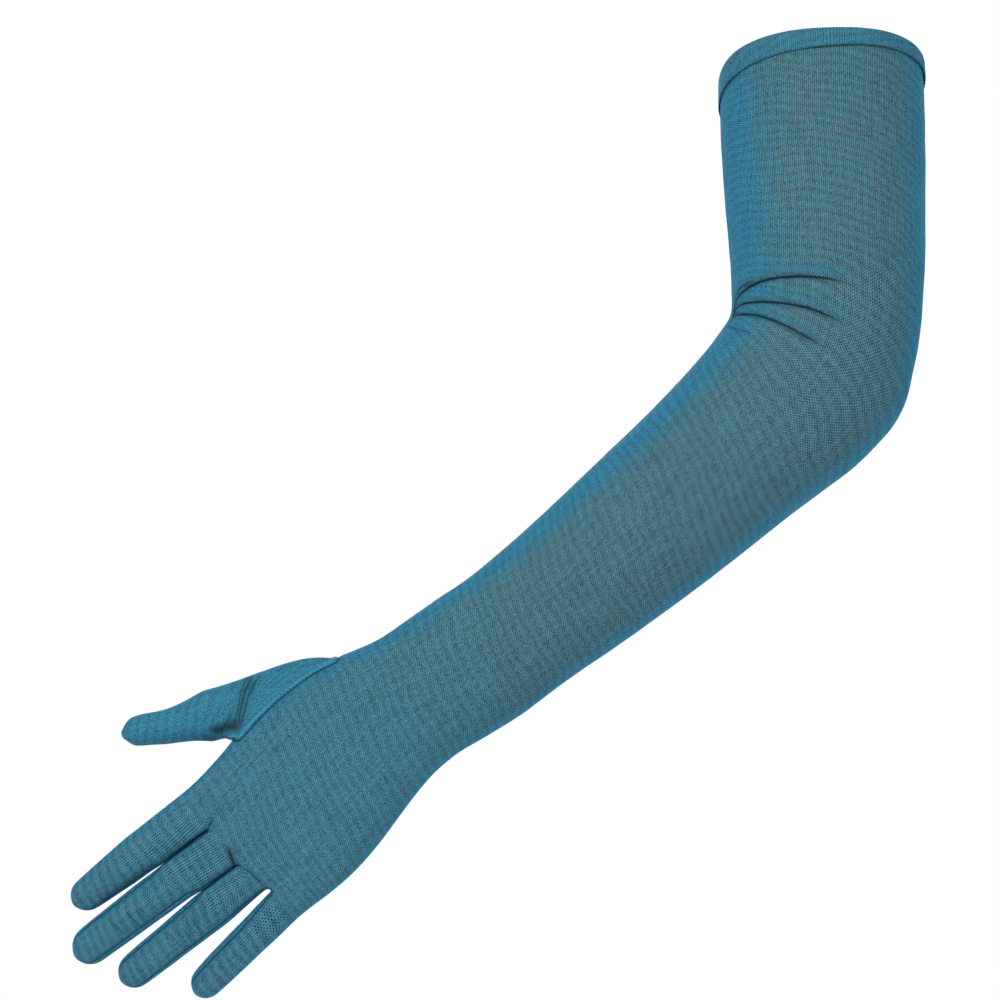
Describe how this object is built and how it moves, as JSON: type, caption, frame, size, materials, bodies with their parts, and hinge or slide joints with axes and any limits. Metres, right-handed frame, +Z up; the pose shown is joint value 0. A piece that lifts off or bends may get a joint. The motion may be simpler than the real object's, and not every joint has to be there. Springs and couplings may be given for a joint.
{
  "type": "long tulle glove",
  "caption": "Long blue tulle glove for the left hand, reaching over a bent elbow, with a folded band at the opening, a set-in thumb and strips between the fingers.",
  "frame": {"origin": "centre of the opening that the upper arm goes through", "axes": "+Z up the worn glove towards the opening, -Y out of the back of the hand, -X towards the fingertips"},
  "size_m": [0.3824, 0.1388, 0.4302],
  "materials": {
    "band_cloth": "matt",
    "back_cloth": "matt",
    "palm_cloth": "matt",
    "thumb_cloth": "matt",
    "fourchette_cloth": "matt"
  },
  "bodies": {
    "root": {"hem_band": "band_cloth", "back_panel_upper_arm": "back_cloth", "back_panel_forearm": "back_cloth", "back_panel_hand": "back_cloth", "back_panel_index": "back_cloth", "back_panel_middle": "back_cloth", "back_panel_ring": "back_cloth", "back_panel_little": "back_cloth", "palm_panel_upper_arm": "palm_cloth", "palm_panel_forearm": "palm_cloth", "palm_panel_hand": "palm_cloth", "palm_panel_index": "palm_cloth", "palm_panel_middle": "palm_cloth", "palm_panel_ring": "palm_cloth", "palm_panel_little": "palm_cloth", "thumb": "thumb_cloth", "fourchette_index_middle": "fourchette_cloth", "fourchette_middle_ring": "fourchette_cloth", "fourchette_ring_little": "fourchette_cloth"}
  },
  "joints": []
}
